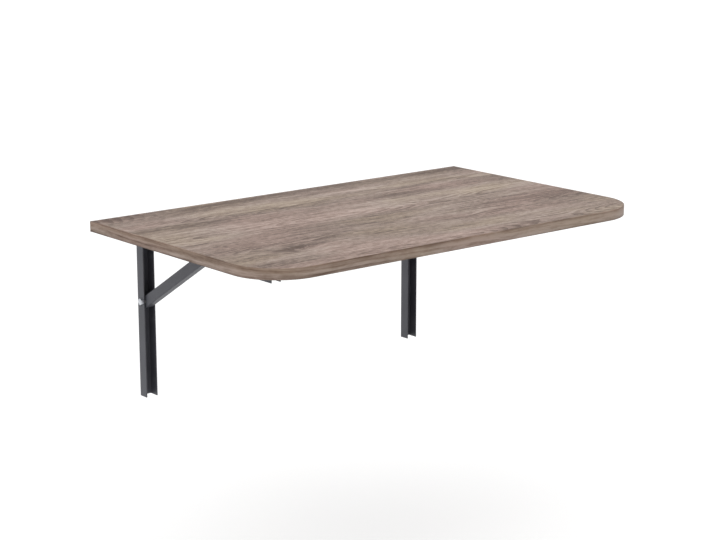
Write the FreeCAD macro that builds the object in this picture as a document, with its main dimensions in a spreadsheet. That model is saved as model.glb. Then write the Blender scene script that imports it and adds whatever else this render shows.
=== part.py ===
import FreeCAD, Part
import math
import os
import Sketcher

# Wall table with one drop leaf. Two steel brackets hold the leaf on the wall: in each, an arm under
# the leaf hinges at the top of a wall channel, and a brace turns on a pivot lower down. The upper end
# of the brace carries a pin that runs in a curved slot of the arm, so the leaf drops flat to the wall.
# The frame: +X along the wall, +Y into the wall, +Z up. The origin lies on the wall plane, in the
# middle of the four outer wall holes.

document = FreeCAD.newDocument("drop_leaf_table")
sheet = document.addObject("Spreadsheet::Sheet", "dims")

# Driving dimensions: millimetres, and degrees for the angles
DIMENSIONS = [
    ("top_level", 235, "top face of the leaf above the middle of the wall holes"),
    ("top_length", 1000, "leaf, along the wall"),
    ("top_depth", 600, "leaf, out from the wall"),
    ("top_thickness", 22, "leaf, with its edge bands"),
    ("corner_radius", 106, "round front corners of the leaf"),
    ("wall_gap", 19, "back edge of the leaf to the wall"),
    ("band_thickness", 2, "edge band"),
    ("band_round", 1.5, "rounding of the band's outer edges"),
    ("bracket_spacing", 732, "middle of one bracket to middle of the other"),
    ("channel_width", 28, "wall channel, outside"),
    ("channel_depth", 25, "wall channel, out from the wall"),
    ("channel_sheet", 2, "wall channel, steel sheet"),
    ("channel_bend", 3, "wall channel, outer bend radius"),
    ("channel_length", 370, "wall channel, height"),
    ("channel_gap", 5, "top of the wall channel below the leaf"),
    ("wall_hole_diameter", 6.5, "holes for the wall screws"),
    ("wall_hole_spacing", 270, "lowest wall hole to highest"),
    ("side_play", 0.3, "play on each side between nested channels"),
    ("hinge_setback", 12, "hinge axis to the wall"),
    ("hinge_rise", 8, "hinge axis above the lower edge of the arm"),
    ("pivot_setback", 17, "pivot axis to the wall"),
    ("pivot_level", 46.5, "pivot axis above the middle of the wall holes"),
    ("arm_sheet", 1.8, "arm, steel sheet"),
    ("arm_bend", 2.6, "arm, outer bend radius"),
    ("arm_height", 43, "arm, flange height"),
    ("arm_reach", 466, "front end of the arm to the wall"),
    ("arm_rear_slope", 24, "lean of the arm's rear edge, degrees"),
    ("notch_play", 1.2, "room round the pivot spacers in the arm's notch"),
    ("brace_sheet", 1.5, "brace, steel sheet"),
    ("brace_bend", 2.2, "brace, outer bend radius"),
    ("brace_height", 22, "brace, flange height"),
    ("brace_length", 300, "brace, pivot axis to pin axis"),
    ("brace_offset", 3.5, "pivot axis above the middle line of the brace"),
    ("brace_tip_radius", 8, "brace, round end at the pin"),
    ("brace_taper", 10, "lean of the brace's edges at its tip, degrees"),
    ("brace_web_stop", 30, "end of the brace's web short of the pin"),
    ("pin_diameter", 6, "slide pin"),
    ("pin_head_diameter", 10, "slide pin, heads"),
    ("pin_head_height", 2, "slide pin, heads"),
    ("pin_rise", 23, "slide pin above the hinge axis, leaf up"),
    ("pin_play", 0.2, "play on each side of the pin in the slot"),
    ("lock_rise", 3, "depth of the lock pocket over the slot"),
    ("fold_angle", 90, "drop of the leaf, degrees"),
    ("fold_tilt", 3, "brace against the arm, leaf down, degrees"),
    ("bolt_diameter", 8, "hinge and pivot bolts"),
    ("bolt_play", 0.05, "running clearance round the bolts"),
    ("bolt_end", 2, "bolt past its nut"),
    ("hex_flats", 13, "bolt heads and nuts, across the flats"),
    ("head_height", 5.3, "bolt heads"),
    ("nut_height", 6.8, "nuts"),
    ("washer_diameter", 16, "washers"),
    ("washer_thickness", 1.6, "washers"),
    ("sleeve_diameter", 12, "spacer tubes and spacers"),
    ("sleeve_play", 0.1, "end play of the tubes and spacers"),
    ("screw_diameter", 4.5, "screws that hold the leaf"),
    ("screw_length", 16, "screws, under the head"),
    ("screw_tip", 4, "screws, pointed end"),
    ("screw_head_diameter", 9, "screws, heads"),
    ("screw_head_height", 2.6, "screws, heads"),
    ("screw_head_taper", 0.6, "screws, heads narrower at their free face, each side"),
    ("screw_play", 0.05, "room round the screws in their holes"),
    ("screw_margin", 34, "outer screws to the ends of the arm's web"),
    ("recess_length", 4.6, "cross recess in the screw heads, length"),
    ("recess_width", 1, "cross recess in the screw heads, width"),
    ("recess_depth", 1.4, "cross recess in the screw heads, depth"),
    ("recess_spare", 0.5, "recess cutter past the head"),
    ("cut_spare", 10, "reach of a cutter past what it cuts"),
]
SCREWS_PER_ARM = 5
SLOT_STEPS = 12
HEX_SIDES = 6
HEX_FACE_SHARE = 0.97
HEX_CHAMFER_SHARE = 2
HALF_TURN = 180
QUARTER_TURN = 90
SAME_NUMBER = 1e-4

for row, (alias, number, note) in enumerate(DIMENSIONS, start=1):
    sheet.set(f"A{row}", note)
    sheet.set(f"B{row}", str(number))
    sheet.setAlias(f"B{row}", alias)
document.recompute()


class Size:
    """A number that carries the sheet expression it comes from."""

    def __init__(self, text, value):
        self.text = text
        self.value = value

    def __add__(self, other):
        return combine(self, "+", other, lambda a, b: a + b)

    def __sub__(self, other):
        return combine(self, "-", other, lambda a, b: a - b)

    def __mul__(self, other):
        return combine(self, "*", other, lambda a, b: a * b)

    def __truediv__(self, other):
        return combine(self, "/", other, lambda a, b: a / b)

    def __neg__(self):
        return Size(f"(-1 * {self.text})", -self.value)


def combine(first, sign, second, rule):
    """Join two sizes, or a size and a plain factor, by one sign."""
    if not isinstance(second, Size):
        second = Size(str(second), second)
    return Size(f"({first.text} {sign} {second.text})", rule(first.value, second.value))


def dim(alias):
    """A driving dimension as a Size."""
    return Size(f"dims.{alias}", float(sheet.get(alias)))


def sine(angle):
    """Sine of an angle in degrees."""
    return Size(f"sin({angle.text})", math.sin(math.radians(angle.value)))


def cosine(angle):
    """Cosine of an angle in degrees."""
    return Size(f"cos({angle.text})", math.cos(math.radians(angle.value)))


def arcsine(share):
    """The angle in degrees that has this sine."""
    return Size(f"asin({share.text})", math.degrees(math.asin(share.value)))


ZERO = Size("0", 0.0)

# Levels and widths that follow from the driving dimensions
underside_level = dim("top_level") - dim("top_thickness")
hinge_depth = -dim("hinge_setback")
hinge_level = underside_level - dim("arm_height") + dim("hinge_rise")
pivot_depth = -dim("pivot_setback")
pivot_level = dim("pivot_level")
pivot_drop = hinge_level - pivot_level
channel_top = underside_level - dim("channel_gap")
channel_bottom = channel_top - dim("channel_length")
channel_half = dim("channel_width") / 2
channel_inner_half = channel_half - dim("channel_sheet")
arm_half = channel_inner_half - dim("side_play")
arm_inner_half = arm_half - dim("arm_sheet")
arm_top = dim("arm_height") - dim("hinge_rise")
arm_front = dim("hinge_setback") - dim("arm_reach")
brace_half = arm_inner_half - dim("side_play")
brace_inner_half = brace_half - dim("brace_sheet")
bolt_hole_radius = dim("bolt_diameter") / 2 + dim("bolt_play")
screw_hole_radius = dim("screw_diameter") / 2 + dim("screw_play")
sleeve_radius = dim("sleeve_diameter") / 2
pin_radius = dim("pin_diameter") / 2
hex_half_side = Size(f"({HALF_TURN} / {HEX_SIDES})", HALF_TURN / HEX_SIDES)
hex_corner_radius = dim("hex_flats") / 2 / cosine(hex_half_side)

# Rear end of the arm's web: its rear edge leans off the round end about the hinge axis
rear_slope = dim("arm_rear_slope")
arm_rear = (dim("hinge_rise") - arm_top * sine(rear_slope)) / cosine(rear_slope)

# The brace rises from its pivot to the pin at rest. Its middle line starts under the pivot, at the offset.
brace_rise_angle = arcsine((pivot_drop + dim("pin_rise")) / dim("brace_length"))
brace_offset_angle = arcsine(dim("brace_offset") / dim("brace_length"))
brace_slope = brace_rise_angle + brace_offset_angle

# The five screws of an arm stand at even steps along its web
screw_first = arm_rear - dim("screw_margin")
screw_step = (arm_front + dim("screw_margin") - screw_first) / (SCREWS_PER_ARM - 1)
screw_depths = [screw_first + screw_step * index for index in range(SCREWS_PER_ARM)]

SIDES = {"left": -1, "right": 1}
subparts = []


def keep(thing, label):
    """Name a finished sub-part and put it on the list that is written out."""
    thing.Label = label
    subparts.append(thing)
    return thing


def bracket_middle(side):
    """Place of a bracket's middle along the wall."""
    return dim("bracket_spacing") / 2 * SIDES[side]


def place(thing, across, depth, height):
    """Bind the three coordinates of a placement to the sheet."""
    for axis, size in zip("xyz", (across, depth, height)):
        thing.setExpression(f"Placement.Base.{axis}", size.text)


def new_body(name):
    """An empty body."""
    return document.addObject("PartDesign::Body", name)


def new_sketch(body, name, role):
    """A sketch on one of the body's own origin planes."""
    plane = [feature for feature in body.Origin.OriginFeatures if feature.Role == role][0]
    sketch = body.newObject("Sketcher::SketchObject", name)
    sketch.AttachmentSupport = [(plane, "")]
    sketch.MapMode = "FlatFace"
    return sketch


def bind_point(sketch, shape_index, point_index, point):
    """Fix a sketch point by its two signed distances from the sketch origin."""
    for kind, size in zip(("DistanceX", "DistanceY"), point):
        number = sketch.addConstraint(Sketcher.Constraint(kind, -1, 1, shape_index, point_index, size.value))
        sketch.setExpression(f"Constraints[{number}]", size.text)


def polygon(body, name, role, corners):
    """A closed outline of straight edges through the given corners."""
    sketch = new_sketch(body, name, role)
    points = [FreeCAD.Vector(across.value, up.value, 0) for across, up in corners]
    for start, end in zip(points, points[1:] + points[:1]):
        sketch.addGeometry(Part.LineSegment(start, end))
    for index in range(len(corners)):
        following = (index + 1) % len(corners)
        sketch.addConstraint(Sketcher.Constraint("Coincident", index, 2, following, 1))
    for index, corner in enumerate(corners):
        bind_point(sketch, index, 1, corner)
    return sketch


def rectangle(body, name, role, first, second):
    """A rectangle between two opposite corners."""
    corners = [first, (second[0], first[1]), second, (first[0], second[1])]
    return polygon(body, name, role, corners)


def circles(body, name, role, centres_and_radii):
    """Circles, each with its centre and radius bound to the sheet."""
    sketch = new_sketch(body, name, role)
    for index, (centre, radius) in enumerate(centres_and_radii):
        middle = FreeCAD.Vector(centre[0].value, centre[1].value, 0)
        sketch.addGeometry(Part.Circle(middle, FreeCAD.Vector(0, 0, 1), radius.value))
        bind_point(sketch, index, 3, centre)
        number = sketch.addConstraint(Sketcher.Constraint("Radius", index, radius.value))
        sketch.setExpression(f"Constraints[{number}]", radius.text)
    return sketch


def pad(body, sketch, length, side_type="One side"):
    """Raise a sketch into a solid."""
    feature = body.newObject("PartDesign::Pad", sketch.Name + "_pad")
    feature.Profile = (sketch, [""])
    feature.SideType = side_type
    feature.setExpression("Length", length.text)
    document.recompute()
    return feature


def pocket(body, sketch, length=None, side_type="Symmetric", turned=False):
    """Cut a sketch out of the solid, right through unless a length is given."""
    before = body.Shape.Volume
    feature = body.newObject("PartDesign::Pocket", sketch.Name + "_pocket")
    feature.Profile = (sketch, [""])
    feature.SideType = side_type
    feature.Reversed = turned
    if length is None:
        feature.Type = "ThroughAll"
    else:
        feature.setExpression("Length", length.text)
    document.recompute()
    if body.Shape.Volume >= before:
        raise RuntimeError(f"{feature.Name} cuts nothing")
    return feature


def fillet(body, name, radius, chosen):
    """Round the edges for which the test holds."""
    base = body.Tip
    names = [f"Edge{index}" for index, edge in enumerate(base.Shape.Edges, start=1) if chosen(edge)]
    feature = body.newObject("PartDesign::Fillet", name)
    feature.Base = (base, names)
    feature.setExpression("Radius", radius.text)
    document.recompute()
    return feature


def near(first, second):
    """Whether two numbers agree, as coordinates of one model."""
    return math.isclose(first, second, abs_tol=SAME_NUMBER)


def runs_along(edge, axis):
    """Whether a straight edge is parallel to an axis, 0 for X, 1 for Y and 2 for Z."""
    if not isinstance(edge.Curve, (Part.Line, Part.LineSegment)):
        return False
    return near(abs(edge.tangentAt(edge.FirstParameter)[axis]), 1)


def primitive(kind, name, **sizes):
    """A Part primitive whose sizes are bound to the sheet."""
    thing = document.addObject(kind, name)
    for prop, size in sizes.items():
        thing.setExpression(prop, size.text)
    return thing


def cut(base, tool, name):
    """One solid less another."""
    thing = document.addObject("Part::Cut", name)
    thing.Base = base
    thing.Tool = tool
    return thing


def fuse(things, name):
    """Several solids made one."""
    thing = document.addObject("Part::MultiFuse", name)
    thing.Shapes = things
    return thing


def group(things, name):
    """Several separate solids under one name."""
    thing = document.addObject("Part::Compound", name)
    thing.Links = things
    return thing


# The leaf: a board with an edge band on all its sides

def rounded_slab(name, half_length, front, back):
    """A slab of the leaf's thickness, round at its two front corners, on the leaf's own frame."""
    body = new_body(name)
    sketch = rectangle(body, name + "_outline", "XY_Plane", (-half_length, front), (half_length, back))
    pad(body, sketch, dim("top_thickness"))
    return body


def round_front_corners(body, name, front, radius):
    """Round the two upright edges at the front of a slab."""
    fillet(body, name, radius, lambda edge: runs_along(edge, 2) and near(edge.CenterOfMass.y, front.value))


def place_on_leaf(thing):
    """Put a piece of the leaf where the leaf is: its back edge and underside are the piece's zero."""
    place(thing, ZERO, -dim("wall_gap"), underside_level)


def make_board_slab(name):
    """The board's own outline, inside the bands."""
    front = dim("band_thickness") - dim("top_depth")
    half_length = dim("top_length") / 2 - dim("band_thickness")
    body = rounded_slab(name, half_length, front, -dim("band_thickness"))
    round_front_corners(body, name + "_corners", front, dim("corner_radius") - dim("band_thickness"))
    return body


def make_board():
    """The board, with a pilot hole for each screw in its underside."""
    body = make_board_slab("tabletop_board")
    centres = []
    for side in SIDES:
        for depth in screw_depths:
            centres.append((bracket_middle(side), depth + hinge_depth + dim("wall_gap")))
    holes = [(centre, screw_hole_radius) for centre in centres]
    hole_depth = dim("screw_length") - dim("arm_sheet") + dim("screw_play")
    sketch = circles(body, "pilot_holes", "XY_Plane", holes)
    pocket(body, sketch, hole_depth, "One side", turned=True)
    place_on_leaf(body)
    keep(body, "tabletop_board")


def make_front_band():
    """The band round the left end, the front and the right end, in one strip."""
    front = -dim("top_depth")
    body = rounded_slab("band_slab", dim("top_length") / 2, front, -dim("band_thickness"))
    round_front_corners(body, "band_corners", front, dim("corner_radius"))
    faces = (0, dim("top_thickness").value)
    back = -dim("band_thickness").value

    def is_rim(edge):
        level = edge.CenterOfMass.z
        lies_flat = near(edge.BoundBox.ZLength, 0)
        on_back = near(edge.BoundBox.YMin, back)
        return lies_flat and not on_back and (near(level, faces[0]) or near(level, faces[1]))

    fillet(body, "band_rims", dim("band_round"), is_rim)
    core = make_board_slab("band_core")
    for thing in (body, core):
        place_on_leaf(thing)
    keep(cut(body, core, "front_band"), "edge_band_front")


def make_back_band():
    """The straight band along the back edge."""
    body = new_body("edge_band_back")
    corner = (-dim("top_length") / 2, -dim("band_thickness"))
    sketch = rectangle(body, "back_band_outline", "XY_Plane", corner, (dim("top_length") / 2, ZERO))
    pad(body, sketch, dim("top_thickness"))
    fillet(body, "back_band_rims", dim("band_round"),
           lambda edge: runs_along(edge, 0) and near(edge.CenterOfMass.y, 0))
    place_on_leaf(body)
    keep(body, "edge_band_back")


# The steel channels of a bracket

def make_wall_channel(side):
    """The channel on the wall: its web on the wall, its open side to the front."""
    name = f"wall_channel_{side}"
    body = new_body(name)
    sheet_line = -dim("channel_sheet")
    front = -dim("channel_depth")
    section = [
        (-channel_half, ZERO), (channel_half, ZERO),
        (channel_half, front), (channel_inner_half, front),
        (channel_inner_half, sheet_line), (-channel_inner_half, sheet_line),
        (-channel_inner_half, front), (-channel_half, front),
    ]
    pad(body, polygon(body, name + "_section", "XY_Plane", section), dim("channel_length"))
    fillet(body, name + "_bends", dim("channel_bend"),
           lambda edge: runs_along(edge, 2) and near(edge.CenterOfMass.y, 0))
    fillet(body, name + "_inner_bends", dim("channel_bend") - dim("channel_sheet"),
           lambda edge: runs_along(edge, 2) and near(edge.CenterOfMass.y, sheet_line.value))
    hole_radius = dim("wall_hole_diameter") / 2
    levels = [-dim("wall_hole_spacing") / 2, ZERO, dim("wall_hole_spacing") / 2]
    wall_holes = [((ZERO, level - channel_bottom), hole_radius) for level in levels]
    pocket(body, circles(body, name + "_wall_holes", "XZ_Plane", wall_holes))
    bolt_holes = [
        ((hinge_depth, hinge_level - channel_bottom), bolt_hole_radius),
        ((pivot_depth, pivot_level - channel_bottom), bolt_hole_radius),
    ]
    pocket(body, circles(body, name + "_bolt_holes", "YZ_Plane", bolt_holes))
    place(body, bracket_middle(side), ZERO, channel_bottom)
    keep(body, name)


def pin_path(turn):
    """Where the slide pin stands in the arm, in front of and below the hinge axis, at a drop of the leaf.

    The pivot swings back round the hinge as the leaf drops by the turn, while the angle of the brace
    to the arm closes evenly from its rise at rest to the fold tilt. So the brace turns in fixed
    proportion to the leaf, and the slot takes the curve that the pin then needs.
    """
    share = turn / math.radians(dim("fold_angle").value)
    rise = math.radians(brace_rise_angle.value)
    lean = rise + (math.radians(dim("fold_tilt").value) - rise) * share
    setback = pivot_depth.value - hinge_depth.value
    ahead = pivot_drop.value * math.sin(turn) - setback * math.cos(turn)
    below = pivot_drop.value * math.cos(turn) + setback * math.sin(turn)
    length = dim("brace_length").value
    return FreeCAD.Vector(0, -ahead - length * math.cos(lean), length * math.sin(lean) - below)


def make_slot_cutter(side):
    """The solid of the arm's curved slot, with the lock pocket over its rear end."""
    half = pin_radius.value + dim("pin_play").value
    last_turn = math.radians(dim("fold_angle").value)
    turns = [last_turn * index / SLOT_STEPS for index in range(SLOT_STEPS + 1)]
    path = Part.BSplineCurve()
    path.interpolate([pin_path(turn) for turn in turns])
    axis = FreeCAD.Vector(1, 0, 0)
    upper = []
    lower = []
    for turn in turns:
        point = pin_path(turn)
        sideways = axis.cross(path.tangent(path.parameter(point))[0])
        upper.append(point - sideways * half)
        lower.append(point + sideways * half)
    sides = []
    for points in (upper, lower):
        curve = Part.BSplineCurve()
        curve.interpolate(points)
        sides.append(curve.toShape())
    caps = []
    for index, sign in ((0, -1), (-1, 1)):
        point = pin_path(turns[index])
        tip = point + path.tangent(path.parameter(point))[0] * half * sign
        caps.append(Part.Arc(upper[index], tip, lower[index]).toShape())
    wire = Part.Wire(Part.__sortEdges__(sides + caps))
    reach = arm_half.value + dim("cut_spare").value
    start = FreeCAD.Vector(-reach, 0, 0)
    slot = Part.Face(wire).translated(start).extrude(axis * reach * 2)
    seat = pin_path(0) + start
    lift = FreeCAD.Vector(0, 0, dim("lock_rise").value)
    pocket_top = Part.makeCylinder(half, reach * 2, seat + lift, axis)
    pocket_sides = Part.makeBox(reach * 2, half * 2, lift.z, seat - FreeCAD.Vector(0, half, 0))
    cutter = document.addObject("Part::Feature", f"slot_cutter_{side}")
    cutter.Shape = slot.fuse([pocket_top, pocket_sides]).removeSplitter()
    place(cutter, bracket_middle(side), hinge_depth, hinge_level)
    return cutter


def make_arm(side):
    """The arm under the leaf: a channel open downwards that hinges at its rear end.

    A notch in its lower edge lets the arm close over the pivot when the leaf is down.
    """
    name = f"arm_{side}"
    body = new_body(name + "_channel")
    bottom = -dim("hinge_rise")
    round_end = (dim("hinge_rise") * cosine(rear_slope), dim("hinge_rise") * sine(rear_slope))
    outline = [(arm_front, arm_top), (arm_front, bottom), (ZERO, bottom), round_end, (arm_rear, arm_top)]
    pad(body, polygon(body, name + "_outline", "YZ_Plane", outline), arm_half * 2, "Symmetric")
    rear = [((ZERO, ZERO), dim("hinge_rise"))]
    pad(body, circles(body, name + "_rear_end", "YZ_Plane", rear), arm_half * 2, "Symmetric")
    fillet(body, name + "_bends", dim("arm_bend"),
           lambda edge: runs_along(edge, 1) and near(edge.CenterOfMass.z, arm_top.value))
    web_line = arm_top - dim("arm_sheet")
    inside_front = (arm_front - dim("cut_spare"), bottom - dim("cut_spare"))
    inside_rear = (dim("hinge_rise") + dim("cut_spare"), web_line)
    inside = rectangle(body, name + "_inside", "YZ_Plane", inside_front, inside_rear)
    pocket(body, inside, arm_inner_half * 2)
    hinge_hole = [((ZERO, ZERO), bolt_hole_radius)]
    pocket(body, circles(body, name + "_hinge_hole", "YZ_Plane", hinge_hole))
    notch_half = sleeve_radius + dim("notch_play")
    notch_depth = -pivot_drop
    notch_level = hinge_depth - pivot_depth
    notch_mouth = (notch_depth - notch_half, bottom - dim("cut_spare"))
    notch_end = (notch_depth + notch_half, notch_level)
    pocket(body, rectangle(body, name + "_notch", "YZ_Plane", notch_mouth, notch_end))
    notch_round = [((notch_depth, notch_level), notch_half)]
    pocket(body, circles(body, name + "_notch_round", "YZ_Plane", notch_round))
    screw_holes = [((ZERO, depth), screw_hole_radius) for depth in screw_depths]
    pocket(body, circles(body, name + "_screw_holes", "XY_Plane", screw_holes))
    place(body, bracket_middle(side), hinge_depth, hinge_level)
    keep(cut(body, make_slot_cutter(side), name), name)


def make_brace(side):
    """The brace: a channel whose web faces down and forwards, round at the pivot and at the pin.

    It is drawn level, its middle line on the zero line from under the pivot to the pin, and then turned up.
    """
    name = f"brace_{side}"
    body = new_body(name)
    half_height = dim("brace_height") / 2
    length = dim("brace_length") * cosine(brace_offset_angle)
    offset = dim("brace_offset")
    tip_radius = dim("brace_tip_radius")
    taper = dim("brace_taper")
    taper_start = -length - (tip_radius - half_height * cosine(taper)) / sine(taper)
    tip_depth = -length - tip_radius * sine(taper)
    tip_level = tip_radius * cosine(taper)
    outline = [
        (ZERO, -half_height), (ZERO, half_height),
        (taper_start, half_height), (tip_depth, tip_level),
        (tip_depth, -tip_level), (taper_start, -half_height),
    ]
    pad(body, polygon(body, name + "_outline", "YZ_Plane", outline), brace_half * 2, "Symmetric")
    fillet(body, name + "_bends", dim("brace_bend"),
           lambda edge: runs_along(edge, 1) and near(edge.CenterOfMass.z, -half_height.value))
    ends = [((ZERO, ZERO), half_height), ((-length, ZERO), tip_radius)]
    pad(body, circles(body, name + "_ends", "YZ_Plane", ends), brace_half * 2, "Symmetric")
    web_line = dim("brace_sheet") - half_height
    web_end = dim("brace_web_stop") - length
    above = half_height + dim("cut_spare")
    below = -above
    front = -length - above
    inside = [
        (above, above), (front, above), (front, below), (web_end, below),
        (web_end, web_line), (ZERO, web_line), (ZERO, below), (above, below),
    ]
    pocket(body, polygon(body, name + "_inside", "YZ_Plane", inside), brace_inner_half * 2)
    holes = [((ZERO, offset), bolt_hole_radius), ((-length, ZERO), pin_radius + dim("bolt_play"))]
    pocket(body, circles(body, name + "_holes", "YZ_Plane", holes))
    body.Placement.Rotation = FreeCAD.Rotation(FreeCAD.Vector(1, 0, 0), -brace_slope.value)
    body.setExpression("Placement.Rotation.Angle", (-brace_slope).text)
    start_depth = pivot_depth - offset * sine(brace_slope)
    start_level = pivot_level - offset * cosine(brace_slope)
    place(body, bracket_middle(side), start_depth, start_level)
    keep(body, name)


# The fasteners across a bracket, drawn from its outer side inwards

def across_bracket(thing, side, start, depth, level):
    """Lay a primitive along the wall, from a distance outside the bracket's middle inwards."""
    thing.Placement.Rotation = FreeCAD.Rotation(FreeCAD.Vector(0, 1, 0), -QUARTER_TURN * SIDES[side])
    place(thing, bracket_middle(side) + start * SIDES[side], depth, level)
    return thing


def rod(name, side, axis, start, radius, length):
    """A plain round bar across the bracket."""
    thing = primitive("Part::Cylinder", name, Radius=radius, Height=length)
    return across_bracket(thing, side, start, *axis)


def ring(name, side, axis, start, radius, length):
    """A tube or washer on a bolt."""
    outside = rod(name + "_outside", side, axis, start, radius, length)
    bore = rod(name + "_bore", side, axis, start, bolt_hole_radius, length)
    return cut(outside, bore, name)


def hexagon(name, side, axis, start, height, narrow_outside):
    """A six-sided head or nut, its corners chamfered on its free face."""
    prism = primitive("Part::Prism", name + "_prism", Circumradius=hex_corner_radius, Height=height)
    prism.Polygon = HEX_SIDES
    across_bracket(prism, side, start, *axis)
    face_radius = dim("hex_flats") / 2 * HEX_FACE_SHARE
    wide_radius = face_radius + height * HEX_CHAMFER_SHARE
    radii = (face_radius, wide_radius) if narrow_outside else (wide_radius, face_radius)
    cone = primitive("Part::Cone", name + "_cone", Radius1=radii[0], Radius2=radii[1], Height=height)
    across_bracket(cone, side, start, *axis)
    thing = document.addObject("Part::Common", name)
    thing.Base = prism
    thing.Tool = cone
    return thing


def make_bolt_set(kind, side, axis, tube_half):
    """A bolt with its head on the outer side, its washer and nut, and the tube that keeps a channel open."""

    def name(piece):
        return f"{kind}_{piece}_{side}"

    washer = dim("washer_thickness")
    nut_seat = channel_half + washer
    head = hexagon(name("head"), side, axis, channel_half + dim("head_height"), dim("head_height"), True)
    shank_length = channel_half + nut_seat + dim("nut_height") + dim("bolt_end")
    shank = rod(name("shank"), side, axis, channel_half, dim("bolt_diameter") / 2, shank_length)
    keep(fuse([head, shank], name("bolt")), name("bolt"))
    blank = hexagon(name("nut_blank"), side, axis, -nut_seat, dim("nut_height"), False)
    bore = rod(name("nut_bore"), side, axis, -nut_seat, bolt_hole_radius, dim("nut_height"))
    keep(cut(blank, bore, name("nut")), name("nut"))
    keep(ring(name("washer"), side, axis, -channel_half, dim("washer_diameter") / 2, washer), name("washer"))
    tube_reach = tube_half - dim("sleeve_play")
    keep(ring(name("tube"), side, axis, tube_reach, sleeve_radius, tube_reach * 2), name("tube"))


def make_pivot_spacers(side, axis):
    """The two spacers that hold the brace in the middle of the wall channel."""
    name = f"pivot_spacers_{side}"
    thickness = channel_inner_half - brace_half - dim("sleeve_play") * 2
    outer_start = channel_inner_half - dim("sleeve_play")
    inner_start = -(brace_half + dim("sleeve_play"))
    spacers = [
        ring(name + "_outer", side, axis, outer_start, sleeve_radius, thickness),
        ring(name + "_inner", side, axis, inner_start, sleeve_radius, thickness),
    ]
    keep(group(spacers, name), name)


def make_slide_pin(side):
    """The pin through the tip of the brace and both slots of the arm, headed at both ends."""
    name = f"slide_pin_{side}"
    spot = pin_path(0)
    axis = (pivot_depth - dim("brace_length") * cosine(brace_rise_angle), hinge_level + dim("pin_rise"))
    if not (near(spot.y + hinge_depth.value, axis[0].value) and near(spot.z, dim("pin_rise").value)):
        raise RuntimeError("the pin is off its slot")
    reach = arm_half + dim("side_play")
    head = dim("pin_head_height")
    head_radius = dim("pin_head_diameter") / 2
    pieces = [
        rod(name + "_shank", side, axis, reach, pin_radius, reach * 2),
        rod(name + "_outer_head", side, axis, reach + head, head_radius, head),
        rod(name + "_inner_head", side, axis, -reach, head_radius, head),
    ]
    keep(fuse(pieces, name), name)


def make_arm_screws(side):
    """The screws through the arm's web into the board, heads inside the arm."""
    name = f"arm_screws_{side}"
    across = bracket_middle(side)
    seat = underside_level - dim("arm_sheet")
    shank_length = dim("screw_length") - dim("screw_tip")
    radius = dim("screw_diameter") / 2
    head_radius = dim("screw_head_diameter") / 2
    recess = dim("recess_length") / 2
    slit = dim("recess_width") / 2
    recess_level = seat - dim("screw_head_height") - dim("recess_spare")
    recess_height = dim("recess_depth") + dim("recess_spare")
    screws = []
    for index, step in enumerate(screw_depths, start=1):
        label = f"{name}_{index}"
        depth = step + hinge_depth
        shank = primitive("Part::Cylinder", label + "_shank", Radius=radius, Height=shank_length)
        place(shank, across, depth, seat)
        tip = primitive("Part::Cone", label + "_tip", Radius1=radius, Radius2=ZERO, Height=dim("screw_tip"))
        place(tip, across, depth, seat + shank_length)
        head = primitive("Part::Cone", label + "_head", Radius1=head_radius - dim("screw_head_taper"),
                         Radius2=head_radius, Height=dim("screw_head_height"))
        place(head, across, depth, seat - dim("screw_head_height"))
        slits = []
        for turn, (half_across, half_along) in enumerate(((recess, slit), (slit, recess))):
            box = primitive("Part::Box", f"{label}_recess_{turn}", Length=half_across * 2,
                            Width=half_along * 2, Height=recess_height)
            place(box, across - half_across, depth - half_along, recess_level)
            slits.append(box)
        solid = fuse([shank, tip, head], label + "_solid")
        screws.append(cut(solid, fuse(slits, label + "_recess"), label))
    keep(group(screws, name), name)


make_board()
make_front_band()
make_back_band()
hinge_axis = (hinge_depth, hinge_level)
pivot_axis = (pivot_depth, pivot_level)
for bracket_side in SIDES:
    make_wall_channel(bracket_side)
    make_arm(bracket_side)
    make_brace(bracket_side)
    make_bolt_set("hinge", bracket_side, hinge_axis, arm_inner_half)
    make_bolt_set("pivot", bracket_side, pivot_axis, brace_inner_half)
    make_pivot_spacers(bracket_side, pivot_axis)
    make_slide_pin(bracket_side)
    make_arm_screws(bracket_side)
document.recompute()

# Every object must have worked, and every sub-part must be a sound shape, before anything is written
for thing in document.Objects:
    if "Invalid" in thing.State or "Error" in thing.State:
        raise RuntimeError(f"{thing.Label} failed: {thing.State}")
for subpart in subparts:
    if subpart.Shape.isNull() or not subpart.Shape.isValid():
        raise RuntimeError(f"{subpart.Label} has no sound shape")

os.makedirs("parts", exist_ok=True)
for subpart in subparts:
    subpart.Shape.exportStep(f"parts/{subpart.Label}.step")
    box = subpart.Shape.BoundBox
    solids = len(subpart.Shape.Solids)
    print(f"{subpart.Label}: {solids} solid, {box.XLength:.2f} x {box.YLength:.2f} x {box.ZLength:.2f} mm")

fold = dim("fold_angle").value
brace_turn = fold + brace_rise_angle.value - dim("fold_tilt").value
print(f"hinge axis at depth {hinge_depth.value:.3f}, level {hinge_level.value:.3f}")
print(f"pivot axis at depth {pivot_depth.value:.3f}, level {pivot_level.value:.3f}")
print(f"brace rises {brace_rise_angle.value:.4f} degrees and turns {brace_turn:.4f}")
print(f"brace turns {brace_turn / fold:.7f} times as far as the leaf")
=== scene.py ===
# %% [markdown]
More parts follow.
